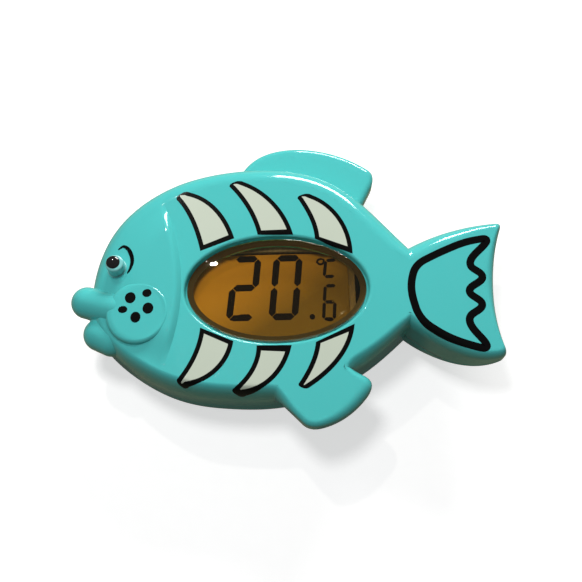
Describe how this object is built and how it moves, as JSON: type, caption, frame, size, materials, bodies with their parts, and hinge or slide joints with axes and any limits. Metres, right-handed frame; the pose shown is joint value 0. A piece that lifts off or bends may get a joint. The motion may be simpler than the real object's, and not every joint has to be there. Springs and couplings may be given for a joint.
{
  "type": "floating pool thermometer",
  "caption": "Fish-shaped floating thermometer with an oval window over a digital display, a coin-slotted battery cap, a unit key and a steel sensor tip in its flat back.",
  "frame": {"origin": "on the flat back, straight below the middle of the display window", "axes": "+Z out of the display face, -X towards the mouth, +X towards the tail, +Y towards the dorsal fin"},
  "size_m": [0.1219, 0.087, 0.0283],
  "materials": {
    "shell_plastic": "glossy moulded turquoise ABS",
    "key_rubber": "satin white elastomer",
    "seal_rubber": "matt black nitrile",
    "steel": "bright stainless steel",
    "cell_steel": "plated steel can",
    "lens_plastic": "clear polished acrylic with an amber tint",
    "polariser": "clear amber film",
    "glass": "clear float glass",
    "ink": "dark liquid crystal areas",
    "reflector": "satin amber film",
    "white_plastic": "moulded natural ABS",
    "zebra_rubber": "striped silicone",
    "board": "green solder mask on glass epoxy",
    "black_resin": "potting resin",
    "black_plastic": "moulded black nylon",
    "chip_parts": "ceramic chips",
    "brass": "spring brass",
    "lead_coat": "red lead insulation"
  },
  "bodies": {
    "body": {"front_shell": "shell_plastic", "rear_shell": "shell_plastic", "perimeter_seal": "seal_rubber", "shell_screws": "steel", "window_lens": "lens_plastic", "window_gasket": "seal_rubber", "lcd_front_polariser": "polariser", "lcd_front_glass": "glass", "lcd_segments": "ink", "lcd_rear_glass": "glass", "lcd_reflector": "reflector", "lcd_holder": "black_plastic", "contact_strips": "zebra_rubber", "circuit_board": "board", "board_screws": "steel", "controller_chip": "black_resin", "timing_crystal": "steel", "chip_components": "chip_parts", "push_switch": "black_plastic", "coin_cell": "cell_steel", "positive_contact": "brass", "negative_contact": "brass", "sensor_cap": "steel", "sensor_seal": "seal_rubber", "sensor_clip": "white_plastic", "thermistor": "black_resin", "thermistor_leads": "lead_coat"},
    "cap_ring": {"battery_cap_seal": "seal_rubber"},
    "cap": {"battery_cap": "shell_plastic"},
    "key": {"unit_key": "key_rubber", "key_seal": "seal_rubber", "switch_plunger": "black_plastic"}
  },
  "joints": [
    {"name": "battery_cap_lift", "type": "slide", "parent": "body", "child": "cap_ring", "axis": [0, 0, -1], "range_m": [0, 0.003]},
    {"name": "battery_cap_turn", "type": "hinge", "parent": "cap_ring", "child": "cap", "pos_m": [-0.0142, 0, 0.002], "axis": [0, 0, -1], "range_deg": [0, 540]},
    {"name": "unit_key_press", "type": "slide", "parent": "body", "child": "key", "axis": [0, 0, 1], "range_m": [0, 0.0005], "stiffness_N_per_m": 1200}
  ],
  "couplings": [
    {"joint": "battery_cap_turn", "follows": "battery_cap_lift", "rad_per_m": 3141.6}
  ]
}
